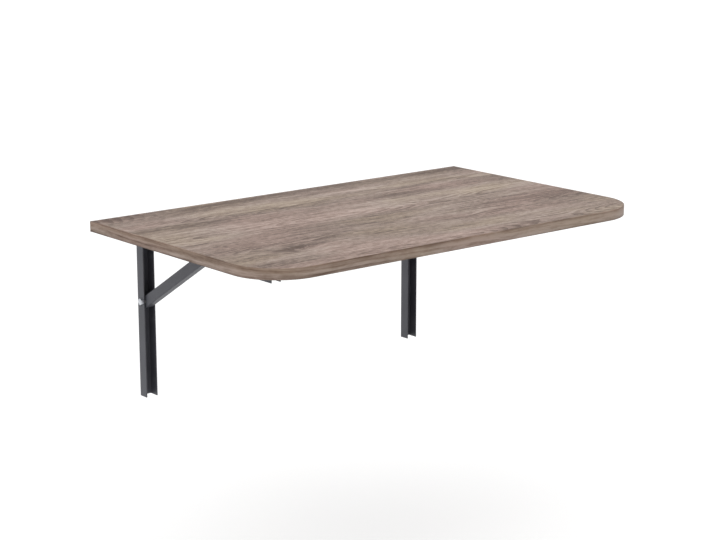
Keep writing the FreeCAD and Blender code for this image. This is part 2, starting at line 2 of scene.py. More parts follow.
# # A wall table with a drop leaf
# The real table is an oak-look board with a 2 mm edge band, held on the wall by two folding steel
# brackets. The solid model gives every piece its place and its motion. This script gives the pieces
# their finish, and makes anew those whose surface the solid model only roughs out. First the solid
# model is loaded, and the box of each of its pieces can be read.

# %% Load the solid model
import math
import bpy
import numpy as np
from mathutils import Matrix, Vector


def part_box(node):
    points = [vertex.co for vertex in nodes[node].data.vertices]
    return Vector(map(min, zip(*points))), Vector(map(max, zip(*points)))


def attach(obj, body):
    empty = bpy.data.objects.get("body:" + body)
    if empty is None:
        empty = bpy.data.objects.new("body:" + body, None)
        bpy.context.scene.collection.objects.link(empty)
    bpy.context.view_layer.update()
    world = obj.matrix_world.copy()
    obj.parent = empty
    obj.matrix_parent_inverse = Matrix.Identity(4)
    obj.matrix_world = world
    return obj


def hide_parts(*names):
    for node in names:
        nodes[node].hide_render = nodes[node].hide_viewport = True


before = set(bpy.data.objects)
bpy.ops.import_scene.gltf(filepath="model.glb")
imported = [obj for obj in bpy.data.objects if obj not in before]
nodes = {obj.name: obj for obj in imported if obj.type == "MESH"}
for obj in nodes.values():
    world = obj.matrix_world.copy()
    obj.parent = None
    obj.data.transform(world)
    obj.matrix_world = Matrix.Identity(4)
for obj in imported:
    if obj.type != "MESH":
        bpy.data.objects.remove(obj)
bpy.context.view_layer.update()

# %% [markdown]
# ## The camera
# A camera can be placed by eye, or worked out from the picture. Here the straight edges of the leaf
# and of the wall channels were fitted, which gives the place of the lens, its turn and its focal
# length. It stands to the left of the table, a little above the leaf, and looks down by 13 degrees.

# %% Camera at the photograph's viewing angle
CAMERA_PLACE = (-2.3815, -3.1475, 0.9917)
CAMERA_AZIMUTH = math.radians(-39.59)
CAMERA_ELEVATION = math.radians(13.38)
FOCAL_LENGTH = 91.39
SENSOR_WIDTH = 36.0

camera_data = bpy.data.cameras.new("camera")
camera_data.sensor_fit = "HORIZONTAL"
camera_data.sensor_width = SENSOR_WIDTH
camera_data.lens = FOCAL_LENGTH
camera = bpy.data.objects.new("camera", camera_data)
camera.location = CAMERA_PLACE
camera.rotation_euler = (math.pi / 2 - CAMERA_ELEVATION, 0.0, CAMERA_AZIMUTH)
bpy.context.scene.collection.objects.link(camera)
bpy.context.scene.camera = camera
print("camera at", CAMERA_PLACE, "lens", FOCAL_LENGTH)

# %% [markdown]
# ## Shader maths as expressions
# A finish is a net of nodes, and a net is hard to read when it is wired by hand. This small class
# holds one socket, so that `0.5 + 0.2 * grain` adds the Math nodes by itself. Every other node comes
# from its method `node`: settings first, because they decide which sockets exist, then the sockets.

# %% A socket that can be calculated with
class Wire:
    """One socket of a node tree. Sums and products of wires add Math nodes to the tree."""

    def __init__(self, tree, socket=None):
        self.tree = tree
        self.socket = socket

    def node(self, kind, settings=None, sockets=None, output=None):
        """Add a node, set its settings, fill its sockets with values or wires, give one output.

        A socket is named, or numbered where two have the same name.
        """
        made = self.tree.nodes.new(kind)
        for name, value in (settings or {}).items():
            if name == "stops":
                self.set_stops(made.color_ramp, value)
            else:
                setattr(made, name, value)
        for name, value in (sockets or {}).items():
            open_sockets = [s for s in made.inputs if s.enabled]
            named = [s for s in open_sockets if s.name == name]
            target = named[0] if named else open_sockets[name]
            if isinstance(value, Wire):
                self.tree.links.new(value.socket, target)
            else:
                target.default_value = value
        found = [s for s in made.outputs if s.enabled and output in (None, s.name)]
        return Wire(self.tree, found[0] if found else None)

    @staticmethod
    def set_stops(ramp, stops):
        """Fill a colour ramp with (position, colour) pairs."""
        while len(ramp.elements) < len(stops):
            ramp.elements.new(1.0)
        for element, (position, tint) in zip(ramp.elements, stops):
            element.position = position
            element.color = tint

    def math(self, operation, *values):
        """One Math node."""
        return self.node("ShaderNodeMath", {"operation": operation}, dict(enumerate(values)))

    def __add__(self, other):
        return self.math("ADD", self, other)

    def __radd__(self, other):
        return self.math("ADD", other, self)

    def __sub__(self, other):
        return self.math("SUBTRACT", self, other)

    def __rsub__(self, other):
        return self.math("SUBTRACT", other, self)

    def __mul__(self, other):
        return self.math("MULTIPLY", self, other)

    def __rmul__(self, other):
        return self.math("MULTIPLY", other, self)

    def __truediv__(self, other):
        return self.math("DIVIDE", self, other)

    def __rpow__(self, other):
        return self.math("POWER", other, self)

    def __neg__(self):
        return self.math("MULTIPLY", self, -1.0)

    def peak(self, other):
        """The larger of two values."""
        return self.math("MAXIMUM", self, other)

    def bell(self):
        """A soft hill: e to the power of minus the square, so 1 at 0, and falling on both sides."""
        return math.e ** -(self * self)

    def axis(self, name):
        """One coordinate of a vector."""
        return self.node("ShaderNodeSeparateXYZ", None, {"Vector": self}, name)

    def rise(self, low, high):
        """A soft step from 0 at low to 1 at high."""
        sockets = {"Value": self, "From Min": low, "From Max": high}
        return self.node("ShaderNodeMapRange", {"interpolation_type": "SMOOTHSTEP"}, sockets)

    def tooth(self, low, high):
        """A saw tooth for every whole turn: the turn's fraction as a soft step, which then ends sharply."""
        return self.math("FRACT", self).rise(low, high)

    def noise(self, cells, detail=2.0, roughness=0.5):
        """Noise from 0 to 1, with its own number of cells per metre along each axis."""
        spread = self.node("ShaderNodeMapping", None, {"Vector": self, "Scale": cells})
        sockets = {"Vector": spread, "Scale": 1.0, "Detail": detail, "Roughness": roughness}
        return self.node("ShaderNodeTexNoise", None, sockets)

    def sway(self, cells, detail=2.0, roughness=0.5):
        """The same noise about 0, from -0.5 to 0.5."""
        return self.noise(cells, detail, roughness) - 0.5


# %% Materials and colours
def mixed(share, first, second):
    """A colour between two colours."""
    sockets = {"Factor": share, "A": first, "B": second}
    return share.node("ShaderNodeMix", {"data_type": "RGBA"}, sockets)


def new_finish(name):
    """An empty material and a wire in its node tree."""
    material = bpy.data.materials.new(name)
    material.use_nodes = True
    material.node_tree.nodes.clear()
    return material, Wire(material.node_tree)


def close_finish(paint, roughness, bump, others=None):
    """The end of every finish: a shader that takes a colour, a roughness and the relief of a bump."""
    relief = paint.node("ShaderNodeBump", None, bump)
    sockets = {"Base Color": paint, "Roughness": roughness, "Normal": relief, **(others or {})}
    face = paint.node("ShaderNodeBsdfPrincipled", None, sockets)
    paint.node("ShaderNodeOutputMaterial", None, {"Surface": face})


def colour(red, green, blue):
    """A screen colour, 0 to 255 for each part, as the linear colour that a shader takes. It undoes the
    standard curve of screens, which is a straight line for dark parts and a power for the others."""
    parts = np.array([red, green, blue]) / 255
    linear = np.where(parts <= 0.04045, parts / 12.92, ((parts + 0.055) / 1.055) ** 2.4)
    return (*linear.tolist(), 1.0)


print("a mid grey of 128 is", round(colour(128, 128, 128)[0], 4), "in linear light")

# %% [markdown]
# ## Studio: light, white surround and floor
# The table is shown on white, in soft light from above that leaves the ends and the front only a
# little darker than the top. The sky is brighter on the left, so the two flanks of a channel differ.
# Strong lamps could bleach the surround, but they would bleach the oak as well. So the light is plain,
# and the surround is white only for rays that come from the camera or from a reflection. The floor
# lies where a room's floor would, and keeps the table's shadow. It is clear from below, so that the
# underside of the table can be looked at too.

# %% Light
SKY_LIGHT = 0.56
SIDE_LIGHT = 0.32
LAMP_STRENGTH = 1.42
LAMP_SPREAD = math.radians(75)
LAMP_LEAN = (math.radians(14), math.radians(-4), 0.0)
WHITE = (1.0, 1.0, 1.0, 1.0)

bpy.context.scene.view_settings.view_transform = "Standard"


def seen_directly(pen):
    """1 for rays from the camera, a reflection or glass, otherwise 0."""
    camera_ray, glossy_ray, glass_ray = (
        pen.node("ShaderNodeLightPath", None, None, name)
        for name in ("Is Camera Ray", "Is Glossy Ray", "Is Transmission Ray"))
    return camera_ray.peak(glossy_ray).peak(glass_ray)


world = bpy.data.worlds.new("white surround")
world.use_nodes = True
world.node_tree.nodes.clear()
pen = Wire(world.node_tree)
from_right = pen.node("ShaderNodeTexCoord", None, None, "Generated").axis("X")
sky_light = SKY_LIGHT - SIDE_LIGHT * from_right
strength = sky_light + (1.0 - sky_light) * seen_directly(pen)
sky = pen.node("ShaderNodeBackground", None, {"Color": WHITE, "Strength": strength})
pen.node("ShaderNodeOutputWorld", None, {"Surface": sky})
bpy.context.scene.world = world

lamp_data = bpy.data.lights.new("broad lamp", "SUN")
lamp_data.energy = LAMP_STRENGTH
lamp_data.angle = LAMP_SPREAD
lamp = bpy.data.objects.new("broad lamp", lamp_data)
lamp.rotation_euler = LAMP_LEAN
bpy.context.scene.collection.objects.link(lamp)
print("lamp", LAMP_STRENGTH, "sky", SKY_LIGHT)

# %% Floor
FLOOR_LEVEL = -0.505
FLOOR_REACH = 30.0
FLOOR_TINT = (0.55, 0.55, 0.55, 1.0)
FLOOR_GLOW = 0.58

floor_finish, pen = new_finish("pale floor")
matt = pen.node("ShaderNodeBsdfDiffuse", None, {"Color": FLOOR_TINT})
glow = pen.node("ShaderNodeEmission", None, {"Strength": FLOOR_GLOW * seen_directly(pen)})
above = pen.node("ShaderNodeAddShader", None, {0: matt, 1: glow})
from_below = pen.node("ShaderNodeNewGeometry", None, None, "Backfacing")
clear = pen.node("ShaderNodeBsdfTransparent")
shown = pen.node("ShaderNodeMixShader", None, {0: from_below, 1: above, 2: clear})
pen.node("ShaderNodeOutputMaterial", None, {"Surface": shown})

floor_corners = FLOOR_REACH * np.array([(-1, -1, 0), (1, -1, 0), (1, 1, 0), (-1, 1, 0)])
floor_corners[:, 2] = FLOOR_LEVEL
floor_mesh = bpy.data.meshes.new("floor")
floor_mesh.from_pydata(floor_corners.tolist(), [], [(0, 1, 2, 3)])
floor_mesh.materials.append(floor_finish)
floor = bpy.data.objects.new("floor", floor_mesh)
bpy.context.scene.collection.objects.link(floor)
print("floor at", FLOOR_LEVEL)

# %% [markdown]
# ## Oak print
# The board is faced with a printed oak paper: grey brown, its grain along the table, in broad lighter
# and darker bands, with fine fibres, short dark pores, a knot and places where the year rings show as
# arches. An image could be laid on it, but a drawn grain stays sharp at any distance. Here every layer
# is noise stretched along the grain. The layers share one coordinate across the grain, which is bent
# near a knot, so all of them flow round it together.

# %% Bent grain
GRAIN_BEND = 0.030
BEND_CELLS = (2.4, 5.0, 5.0)
GRAIN_RIPPLE = 0.006
RIPPLE_CELLS = (17.0, 30.0, 30.0)
# Knots: place along and across the board, reach along and across, shift of the grain
KNOTS = [
    (-0.330, -0.489, 0.036, 0.022, 0.030),
]


def hill(place, along, across, reach_along, reach_across):
    """A soft oval patch: e to the power of minus the sum of two squares, the distances along and across
    the grain, each in steps of its reach. It is 1 in the middle."""
    steps_along = (place.axis("X") - along) / reach_along
    steps_across = (place.axis("Y") - across) / reach_across
    return math.e ** -(steps_along * steps_along + steps_across * steps_across)


def grain_flow(place, knots):
    """A place on the print with its coordinate across the grain bent by two slow noises and by the knots,
    which lift the grain by a hill over their reach."""
    bent = place.axis("Y") + GRAIN_BEND * place.sway(BEND_CELLS)
    bent = bent + GRAIN_RIPPLE * place.sway(RIPPLE_CELLS)
    for *patch, shift in knots:
        bent = bent + shift * hill(place, *patch)
    sockets = {"X": place.axis("X"), "Y": bent, "Z": place.axis("Z")}
    return place.node("ShaderNodeCombineXYZ", None, sockets)


print("knots:", len(KNOTS))

# %% [markdown]
# ## Year rings
# A ring starts with pale early wood, darkens slowly into late wood, and ends sharply where the next
# year begins. A sine wave would look like corrugated card, so each ring is a saw tooth. On most of the
# board the rings are long and close to the grain. In two places they show as arches, and round the
# knot they close into ovals.

# %% Year rings of the board
TRUNK_HALF = 0.075
CUT_DEPTH = 0.035
CUT_CHANGE = 0.10
CUT_CELLS = (2.3, 4.5, 4.5)
CUT_DETAIL = 1.0
RING_STEP = 0.0058
RING_WAVER = 0.5
WAVER_CELLS = (24.0, 60.0, 60.0)
RING_SHADE = (0.3, 0.95)
STRONG_CELLS = (5.0, 16.0, 16.0)
STRONG_EDGE = (0.32, 0.62)


def year_rings(flow):
    """How dark the late wood is. The print shows trunks side by side, cut along. A ring's distance from the
    heart is the root of two squares: the distance from the trunk's middle line, and the depth of the cut,
    which changes slowly, so that the rings close into long arches. They are strong only in places."""
    beside = flow.math("PINGPONG", flow.axis("Y"), TRUNK_HALF)
    depth = CUT_DEPTH + CUT_CHANGE * flow.sway(CUT_CELLS, CUT_DETAIL)
    distance = flow.math("SQRT", beside * beside + depth * depth)
    turns = distance / RING_STEP + RING_WAVER * flow.noise(WAVER_CELLS)
    return turns.tooth(*RING_SHADE) * flow.noise(STRONG_CELLS).rise(*STRONG_EDGE)


print("year rings on half a trunk:", round(TRUNK_HALF / RING_STEP))

# %% Arches and knots
# Arches: place along and across, reach along and across, step, lag in turns, depth of tone
ARCHES = [
    (-0.450, -0.026, 0.075, 0.038, 0.027, 0.45, 0.58),
    (0.255, -0.345, 0.075, 0.030, 0.016, 0.90, 0.24),
]
ARCH_RUFFLE = 0.7
ARCH_RUFFLE_CELLS = (24.0, 50.0, 50.0)
ARCH_RUFFLE_DETAIL = 3.0
ARCH_DRIFT_CELLS = (14.0, 9.0, 9.0)
ARCH_SHADE = (0.1, 0.95)
KNOT_SHARE = 0.7
KNOT_TURNS = 3.4
KNOT_RUFFLE = 0.5
KNOT_RUFFLE_CELLS = (70.0, 110.0, 110.0)
KNOT_SHADE = (0.2, 0.95)
KNOT_RING_DEPTH = 0.34


def ring_arches(place, arches):
    """How dark the arches are: rings that follow each other along the grain and lag with the square of the
    distance from the arch's middle line, so that their edges are parabolas, inside a soft patch."""
    ruffle = place.sway(ARCH_RUFFLE_CELLS, ARCH_RUFFLE_DETAIL)
    drift = place.noise(ARCH_DRIFT_CELLS)
    shade = 0.0
    for *patch, step, lag, depth in arches:
        along, across, _, reach_across = patch
        steps_across = (place.axis("Y") - across) / reach_across
        turns = (place.axis("X") - along) / step + lag * (steps_across * steps_across)
        turns = turns + ARCH_RUFFLE * ruffle + drift
        shade = shade + depth * hill(place, *patch) * turns.tooth(*ARCH_SHADE)
    return shade


def knot_rings(place, knots):
    """How dark a knot is: rings by the distance from the knot's heart, which is the root of two squares,
    longer along the grain. They fade over a share of the knot's reach."""
    ruffle = place.sway(KNOT_RUFFLE_CELLS)
    shade = 0.0
    for along, across, reach_along, reach_across, _ in knots:
        steps_along = (place.axis("X") - along) / (KNOT_SHARE * reach_along)
        steps_across = (place.axis("Y") - across) / (KNOT_SHARE * reach_across)
        distance = place.math("SQRT", steps_along * steps_along + steps_across * steps_across)
        distance = distance + KNOT_RUFFLE * ruffle
        rings = (distance * KNOT_TURNS).tooth(*KNOT_SHADE)
        shade = shade + distance.bell() * (KNOT_RING_DEPTH * rings)
    return shade


print("arches:", len(ARCHES), "rings of a knot:", KNOT_TURNS)

# %% [markdown]
# ## Tone and colour of the print
# Wood that is only lighter and darker needs one number at each place, its tone. So all the layers are
# added up to a tone first, from broad clouds down to single fibres. A ramp then turns the tone into
# colour. A slow drift tints it a little pinker or yellower, because real oak isn't all of one hue.

# %% Tone of the print
TONE_MIDDLE = 0.632
# Layers along the grain: cells per metre on each axis, detail and roughness of the noise, weight
TONE_LAYERS = {
    "cloud": ((2.4, 13.0, 13.0), 2.0, 0.55, 0.66),
    "streak": ((5.0, 48.0, 40.0), 3.0, 0.60, 0.84),
    "fleck": ((72.0, 120.0, 120.0), 3.0, 0.70, 1.00),
    "vein": ((11.0, 160.0, 90.0), 3.0, 0.65, 0.90),
    "fibre": ((40.0, 430.0, 200.0), 2.0, 0.60, 0.45),
}
SAW_MARK_CELLS = (330.0, 26.0, 26.0)
SAW_MARK_WEIGHT = 0.08
RING_WEIGHT = 0.32
PORE_CELLS = (45.0, 1250.0, 400.0)
PORE_DETAIL = 1.0
PORE_EDGE = (0.57, 0.66)
PORE_LEAST = 0.4


def oak_tone(place, flow, contrast):
    """How light the print is, from 0 to 1, with the fibres and the pores that it is made of. The tone is a
    middle value, plus the contrast times what the weighted layers give, less the rings. Saw marks cross the
    grain and don't bend with it. A pore is a peak of a long and narrow noise, strongest in a dark ring."""
    layers = {name: flow.sway(*noise) for name, (*noise, _) in TONE_LAYERS.items()}
    total = sum(weight * layers[name] for name, (*_, weight) in TONE_LAYERS.items())
    total = total + SAW_MARK_WEIGHT * place.sway(SAW_MARK_CELLS)
    rings = year_rings(flow)
    tone = TONE_MIDDLE + contrast * (total - RING_WEIGHT * rings)
    pore = flow.noise(PORE_CELLS, PORE_DETAIL).rise(*PORE_EDGE) * (PORE_LEAST + (1 - PORE_LEAST) * rings)
    return tone, layers["fibre"], pore


print("layers of the tone:", list(TONE_LAYERS))

# %% Colour of the print
OAK_STOPS = [(0.0, colour(66, 41, 22)), (0.5, colour(139, 120, 108)), (1.0, colour(181, 163, 152))]
OAK_TINTS = [(0.36, (1.05, 0.98, 0.99, 1.0)), (0.5, WHITE), (0.64, (1.0, 1.0, 0.90, 1.0))]
TINT_CELLS = (2.6, 9.0, 9.0)
DARK_FLOOR = 0.07
DARK_SQUEEZE = 0.4
OAK_PORE = colour(86, 63, 50)
PORE_SHARE = 0.5
OAK_ROUGHNESS = 0.52
FIBRE_ROUGHNESS = 0.16
PORE_ROUGHNESS = 0.14
FIBRE_HEIGHT = 0.5
OAK_RELIEF = {"Strength": 0.35, "Distance": 0.00012}
OAK_GLOSS = {"Specular IOR Level": 0.3}


def oak_finish(place, tone, fibre, pore, trim=()):
    """The oak print as a matt melamine face. Very dark tones are squeezed, so that no place turns black.
    The pores are painted over the tinted colour, and then a trim: pairs of a share and a colour."""
    soft_tone = tone.peak(DARK_FLOOR + DARK_SQUEEZE * tone)
    paint = tone.node("ShaderNodeValToRGB", {"stops": OAK_STOPS}, {"Fac": soft_tone}, "Color")
    drift = place.noise(TINT_CELLS)
    tint = drift.node("ShaderNodeValToRGB", {"stops": OAK_TINTS}, {"Fac": drift}, "Color")
    settings = {"data_type": "RGBA", "blend_type": "MULTIPLY"}
    paint = paint.node("ShaderNodeMix", settings, {"Factor": 1.0, "A": paint, "B": tint})
    for share, cover in [(PORE_SHARE * pore, OAK_PORE), *trim]:
        paint = mixed(share, paint, cover)
    roughness = OAK_ROUGHNESS + FIBRE_ROUGHNESS * fibre + PORE_ROUGHNESS * pore
    close_finish(paint, roughness, {**OAK_RELIEF, "Height": FIBRE_HEIGHT * fibre - pore}, OAK_GLOSS)


print("stops of the oak's colour:", len(OAK_STOPS))

# %% [markdown]
# ## The board
# The print alone would do for any board. This one has its own dark and pale places: a knot with dark
# lobes near the left front corner, a dark stripe at the wall, and soft patches. The underside isn't a
# mirror of the top on a real board, so it shows another part of the print.

# %% Marks of the board
# Patches: place along and across, reach along and across, depth of tone, which is negative for a pale one.
# First the lobes of the knot with a pale gap between them, then the broad patches.
KNOT_PATCHES = [
    (-0.362, -0.482, 0.026, 0.010, 0.50),
    (-0.351, -0.500, 0.011, 0.013, 0.42),
    (-0.316, -0.480, 0.010, 0.010, 0.62),
    (-0.336, -0.486, 0.007, 0.016, -0.16),
    (-0.280, -0.475, 0.038, 0.008, 0.40),
]
PATCHES = [
    (0.170, -0.204, 0.105, 0.012, 0.42),
    (0.220, -0.250, 0.150, 0.026, 0.08),
    (-0.380, -0.186, 0.140, 0.018, 0.24),
    (-0.400, -0.492, 0.150, 0.034, 0.19),
    (-0.075, -0.510, 0.070, 0.018, -0.22),
    (0.400, -0.470, 0.090, 0.026, 0.12),
    (0.300, -0.500, 0.140, 0.026, 0.15),
    (-0.140, -0.226, 0.120, 0.032, -0.18),
    (-0.300, -0.112, 0.140, 0.026, -0.20),
    (0.120, -0.150, 0.130, 0.016, -0.14),
    (0.330, -0.105, 0.120, 0.024, 0.12),
    (0.420, -0.060, 0.090, 0.022, 0.22),
    (0.100, -0.305, 0.080, 0.016, -0.12),
    (0.310, -0.328, 0.090, 0.014, 0.14),
    (-0.430, -0.352, 0.070, 0.024, 0.10),
    (-0.100, -0.372, 0.100, 0.028, -0.08),
]
# Stripes over the whole length: place across the board, half width, depth of tone
STRIPES = [
    (-0.040, 0.036, 0.36),
    (-0.186, 0.030, 0.13),
    (-0.288, 0.042, -0.13),
    (-0.405, 0.085, 0.13),
]
print("patches:", len(KNOT_PATCHES) + len(PATCHES), "stripes:", len(STRIPES))

# %% Finish of the board
BOARD_CONTRAST = 1.12
BOARD_MIDDLE = (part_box("tabletop_board")[0].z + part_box("tabletop_board")[1].z) / 2
FACE_CHANGE = 0.001
UNDERSIDE_SHIFT = {"X": 0.83, "Y": -0.90, "Z": 0.0}


def board_print(pen):
    """The place on the print: the piece's own coordinates, moved to another part of it on the underside."""
    where = pen.node("ShaderNodeTexCoord", None, None, "Object")
    below = 1.0 - where.axis("Z").rise(BOARD_MIDDLE - FACE_CHANGE, BOARD_MIDDLE + FACE_CHANGE)
    sockets = {name: where.axis(name) + shift * below for name, shift in UNDERSIDE_SHIFT.items()}
    return pen.node("ShaderNodeCombineXYZ", None, sockets)


board_finish, pen = new_finish("leaf_laminate")
board_place = board_print(pen)
board_flow = grain_flow(board_place, KNOTS)
tone, fibre, pore = oak_tone(board_place, board_flow, BOARD_CONTRAST)
tone = tone - ring_arches(board_place, ARCHES) - knot_rings(board_place, KNOTS)
for *patch, depth in KNOT_PATCHES + PATCHES:
    tone = tone - depth * hill(board_place, *patch)
for across, half_width, depth in STRIPES:
    tone = tone - depth * ((board_flow.axis("Y") - across) / half_width).bell()
oak_finish(board_place, tone, fibre, pore)
print("oak nodes:", len(board_finish.node_tree.nodes))

# %% [markdown]
# ## Edge bands
# The edges of the board carry a strip of the same oak print, 2 mm thick, with rounded rims. Its grain
# runs along the strip and so goes round the corners. A pattern in the room's coordinates can't do
# that. So the strip is made anew: its section is carried along the leaf's outline, and every point
# keeps how far along and how far up the strip it lies.

# %% Section of a band
FRONT_LOW, FRONT_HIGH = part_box("edge_band_front")
BACK_LOW, BACK_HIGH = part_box("edge_band_back")
BAND_THICKNESS = BACK_HIGH.y - BACK_LOW.y
RIM_RADIUS = 0.0015
RIM_STEPS = 8


def band_section():
    """Section of a band, as distance outwards and level: from the inner face along the underside, round
    a quarter circle up to the outer face, round another at the top, and back to the inner face."""
    turn = np.linspace(0.0, math.pi / 2, RIM_STEPS)
    out = RIM_RADIUS * (np.sin(turn) - 1)
    up = RIM_RADIUS * (1 - np.cos(turn))
    outwards = np.concatenate([[-BAND_THICKNESS], out, out[::-1], [-BAND_THICKNESS]])
    low, high = FRONT_LOW.z, FRONT_HIGH.z
    level = np.concatenate([[low], low + up, high - up[::-1], [high]])
    return outwards, level


print("points round the section:", len(band_section()[0]))

# %% Outline of the leaf
CORNER_RADIUS = 0.106
CORNER_STEPS = 64
STRAIGHT_STEPS = 24


def straight(start, end, outward):
    """Equal steps between two points, all with the same outward direction."""
    share = np.linspace(0.0, 1.0, STRAIGHT_STEPS)[:, None]
    points = np.array(start) + share * (np.array(end) - np.array(start))
    return points, np.tile(np.array(outward, dtype=float), (STRAIGHT_STEPS, 1))


def corner(centre, first, last):
    """Equal steps of angle round a corner's centre, at the corner's radius. The straight runs beside it
    have its first and last point already."""
    turn = np.radians(np.linspace(first, last, CORNER_STEPS)[1:-1])
    outward = np.stack([np.cos(turn), np.sin(turn)], axis=1)
    return np.array(centre) + CORNER_RADIUS * outward, outward


def joined(*runs):
    """Points and outward directions of several runs, end to end."""
    return [np.concatenate(part) for part in zip(*runs)]


left, right, front, back = FRONT_LOW.x, FRONT_HIGH.x, FRONT_LOW.y, FRONT_HIGH.y
bend_left, bend_right, bend_front = left + CORNER_RADIUS, right - CORNER_RADIUS, front + CORNER_RADIUS
front_path = joined(
    straight((left, back), (left, bend_front), (-1, 0)),
    corner((bend_left, bend_front), 180, 270),
    straight((bend_left, front), (bend_right, front), (0, -1)),
    corner((bend_right, bend_front), 270, 360),
    straight((right, bend_front), (right, back), (1, 0)),
)
back_path = straight((BACK_HIGH.x, BACK_HIGH.y), (BACK_LOW.x, BACK_HIGH.y), (0, 1))
print("points along the front band:", len(front_path[0]))

# %% Meshes from rings of points
SHARP_EDGE = math.radians(35)


def new_piece(name, points, faces, finish):
    """A mesh object at the origin with a finish, smooth but for its sharp edges."""
    mesh = bpy.data.meshes.new(name)
    mesh.from_pydata(points.tolist(), [], faces)
    mesh.update()
    mesh.shade_smooth()
    mesh.set_sharp_from_angle(angle=SHARP_EDGE)
    mesh.materials.append(finish)
    piece = bpy.data.objects.new(name, mesh)
    bpy.context.scene.collection.objects.link(piece)
    return piece


def ring_faces(rings, columns):
    """Four-cornered faces between neighbouring rings of points, each ring closed on itself."""
    ring, column = np.meshgrid(np.arange(rings - 1), np.arange(columns), indexing="ij")
    following = (column + 1) % columns
    low, high = ring * columns, (ring + 1) * columns
    quads = np.stack([low + column, low + following, high + following, high + column], axis=-1)
    return quads.reshape(-1, 4).tolist()


def make_band(name, path, finish):
    """Carry the band's section along a path: a point is the path's point, moved by the section's distance
    along the outward direction, at the section's level. Each point keeps its run, level and distance."""
    points, outward = path
    outwards, level = band_section()
    flat = points[:, None, :] + outward[:, None, :] * outwards[None, :, None]
    levels = np.broadcast_to(level, flat.shape[:2])
    grid = np.concatenate([flat, levels[:, :, None]], axis=2)
    rings, columns = grid.shape[:2]
    faces = ring_faces(rings, columns)
    faces += [list(range(columns))[::-1], list(range((rings - 1) * columns, rings * columns))]
    piece = new_piece(name, grid.reshape(-1, 3), faces, finish)
    run = np.concatenate([[0.0], np.cumsum(np.linalg.norm(np.diff(points, axis=0), axis=1))])
    place = np.stack(np.broadcast_arrays(run[:, None], level[None, :], outwards[None, :]), axis=-1)
    strip = piece.data.attributes.new("strip", "FLOAT_VECTOR", "POINT")
    strip.data.foreach_set("vector", place.reshape(-1).astype(np.float32))
    return piece


print("edges sharper than", round(math.degrees(SHARP_EDGE)), "degrees stay sharp")

# %% [markdown]
# ## Finish of the bands
# The strip's print is drawn out along its length. It is palest along a stripe a little below its middle,
# warmer towards the top, and darker at its foot, where painted shade stands for the shade under the
# lower rim. Its rims are worn brown in places, a few brown streaks lie under the upper rim, and a dark
# line of glue shows where the strip meets the board.

# %% Marks of the bands
BAND_MIDDLE = (FRONT_LOW.z + FRONT_HIGH.z) / 2
BAND_HALF = (FRONT_HIGH.z - FRONT_LOW.z) / 2
# Stripes along the strip: level, half width, depth of tone
STRIP_STRIPES_AND_FOOT_SHADE = [
    (BAND_MIDDLE - 0.0015, 0.0060, -0.12),
    # Darker at the foot: painted shade, for the shade under the lower rim
    (FRONT_LOW.z + 0.0015, 0.0025, 0.10),
]
# Pale patches of the strip: run and level, reach along and up, depth of tone
STRIP_PATCHES = [
    (0.800, BAND_MIDDLE, 0.160, 0.030, -0.10),
    (1.050, BAND_MIDDLE, 0.170, 0.030, -0.20),
    (1.330, FRONT_HIGH.z - 0.0060, 0.130, 0.007, -0.14),
]
# Brown streaks under the upper rim: run and level, reach along and up, share of brown
STRIP_STREAKS = [
    (0.765, FRONT_HIGH.z - 0.0045, 0.065, 0.0040, 0.20),
    (0.950, FRONT_HIGH.z - 0.0040, 0.045, 0.0030, 0.28),
    (1.360, FRONT_HIGH.z - 0.0030, 0.120, 0.0020, 0.30),
    (0.420, FRONT_HIGH.z - 0.0050, 0.070, 0.0030, 0.25),
]
print("marks of the strip:", len(STRIP_STRIPES_AND_FOOT_SHADE) + len(STRIP_PATCHES) + len(STRIP_STREAKS))

# %% Build and finish the bands
BAND_CONTRAST = 1.2
BAND_LIFT = 0.05
BAND_STRETCH = (0.34, 0.8, 1.0)
BAND_WARM = colour(152, 122, 94)
WARM_SHARE = 0.28
RIM_BROWN = colour(92, 72, 60)
RIM_EDGE = (BAND_HALF - 0.0026, BAND_HALF - 0.00104)
RIM_LEAST = 0.08
RIM_WORN = 0.72
WORN_CELLS = (8.0, 90.0, 90.0)
WORN_EDGE = (0.38, 0.62)
GLUE_EDGE = (0.0003, 0.0006)
GLUE_SHARE = 0.4

band_finish, pen = new_finish("edge_band")
strip = pen.node("ShaderNodeAttribute", {"attribute_name": "strip"}, None, "Vector")
drawn_out = pen.node("ShaderNodeMapping", None, {"Vector": strip, "Scale": BAND_STRETCH})
tone, fibre, pore = oak_tone(drawn_out, grain_flow(drawn_out, []), BAND_CONTRAST)
tone = tone + BAND_LIFT
for level, half_width, depth in STRIP_STRIPES_AND_FOOT_SHADE:
    tone = tone - depth * ((strip.axis("Y") - level) / half_width).bell()
for *patch, depth in STRIP_PATCHES:
    tone = tone - depth * hill(strip, *patch)
upper = strip.axis("Y").rise(FRONT_LOW.z, FRONT_HIGH.z)
rim = pen.math("ABSOLUTE", strip.axis("Y") - BAND_MIDDLE).rise(*RIM_EDGE)
worn = strip.noise(WORN_CELLS).rise(*WORN_EDGE)
glue = 1.0 - (strip.axis("Z") + BAND_THICKNESS).rise(*GLUE_EDGE)
trim = [(WARM_SHARE * upper, BAND_WARM)]
trim += [(share * hill(strip, *streak), RIM_BROWN) for *streak, share in STRIP_STREAKS]
trim += [((RIM_LEAST + RIM_WORN * worn) * rim, RIM_BROWN), (GLUE_SHARE * glue, OAK_PORE)]
oak_finish(strip, tone, fibre, pore, trim)

for name, path in (("edge_band_front", front_path), ("edge_band_back", back_path)):
    band = make_band(name + "_strip", path, band_finish)
    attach(band, "leaf")
    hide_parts(name)
    print(band.name, len(band.data.polygons), "faces")
